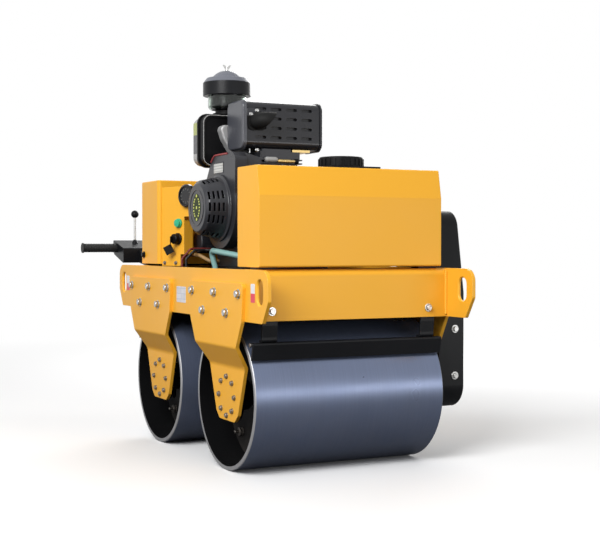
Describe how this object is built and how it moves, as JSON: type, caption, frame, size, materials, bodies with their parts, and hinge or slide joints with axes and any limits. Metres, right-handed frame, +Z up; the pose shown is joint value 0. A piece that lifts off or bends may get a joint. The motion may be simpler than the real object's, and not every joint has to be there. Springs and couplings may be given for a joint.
{
  "type": "walk-behind double-drum road roller",
  "caption": "Walk-behind road roller: smooth steel drums under a plate frame with legs, engine, tanks, guard and a fold-up steering handle.",
  "frame": {"origin": "centre of the bounding box's floor, on the ground the drums stand on", "axes": "+Z up; +Y to the rear, towards the operator's handle; +X to the machine's right"},
  "size_m": [0.763, 2.024, 1.2296],
  "materials": {
    "drum_steel": "satin",
    "drum_inner": "matt",
    "yellow_paint": "semi-gloss",
    "black_paint": "satin",
    "black_plastic": "satin",
    "grip_rubber": "matt",
    "green_plastic": "gloss",
    "dark_enamel": "satin",
    "yellow_zinc": "plated",
    "cast_grey": "as cast",
    "clear_bowl": "clear",
    "zinc_plate": "plated",
    "hose_pvc": "satin",
    "hose_tan": "matt",
    "lead_sheath": "satin"
  },
  "bodies": {
    "chassis": {"side_plate_right": "yellow_paint", "side_plate_left": "yellow_paint", "front_beam": "yellow_paint", "rear_beam": "yellow_paint", "engine_deck": "black_paint", "front_leg_right": "yellow_paint", "front_leg_left": "yellow_paint", "rear_leg_right": "yellow_paint", "rear_leg_left": "yellow_paint", "front_axle_carrier_right": "black_paint", "front_axle_carrier_left": "black_paint", "rear_axle_carrier_right": "black_paint", "rear_axle_carrier_left": "black_paint", "water_tank": "yellow_paint", "water_cap": "black_plastic", "tank_pads": "grip_rubber", "oil_tank": "yellow_paint", "oil_cap": "black_plastic", "switch_panel": "yellow_paint", "hour_meter": "black_plastic", "start_button": "green_plastic", "key_switch": "black_plastic", "engine_block": "dark_enamel", "fan_shroud": "dark_enamel", "recoil_starter": "dark_enamel", "engine_pan": "black_paint", "starter_motor": "dark_enamel", "muffler": "dark_enamel", "muffler_cap_left": "dark_enamel", "muffler_cap_right": "dark_enamel", "exhaust_outlet": "dark_enamel", "muffler_bracket": "yellow_zinc", "air_cleaner": "black_plastic", "air_cleaner_cover": "cast_grey", "intake_duct": "cast_grey", "pre_cleaner_neck": "black_plastic", "pre_cleaner_bowl": "clear_bowl", "pre_cleaner_top": "black_plastic", "wing_nut": "zinc_plate", "drive_guard": "black_paint", "guard_plate": "black_paint", "front_scraper": "black_paint", "rear_scraper": "black_paint", "front_scraper_straps": "black_paint", "rear_scraper_straps": "black_paint", "handle_bracket": "black_paint", "water_hose": "hose_pvc", "drain_hose": "hose_tan", "engine_leads": "lead_sheath"},
    "front_drum": {"front_drum_shell": "drum_steel", "front_drum_web_right": "drum_inner", "front_drum_web_left": "drum_inner"},
    "rear_drum": {"rear_drum_shell": "drum_steel", "rear_drum_web_right": "drum_inner", "rear_drum_web_left": "drum_inner"},
    "handle": {"handle_arm": "black_paint", "control_housing": "black_paint", "handle_grips": "grip_rubber", "travel_lever": "black_paint"}
  },
  "joints": [
    {"name": "front_drum_spin", "type": "hinge", "parent": "chassis", "child": "front_drum", "pos_m": [-0.0485, -0.671, 0.2125], "axis": [1, 0, 0], "continuous": true},
    {"name": "rear_drum_spin", "type": "hinge", "parent": "chassis", "child": "rear_drum", "pos_m": [-0.0485, -0.109, 0.2125], "axis": [1, 0, 0], "continuous": true},
    {"name": "handle_fold", "type": "hinge", "parent": "chassis", "child": "handle", "pos_m": [-0.0485, 0.19, 0.508], "axis": [1, 0, 0], "range_deg": [0, 80]}
  ]
}
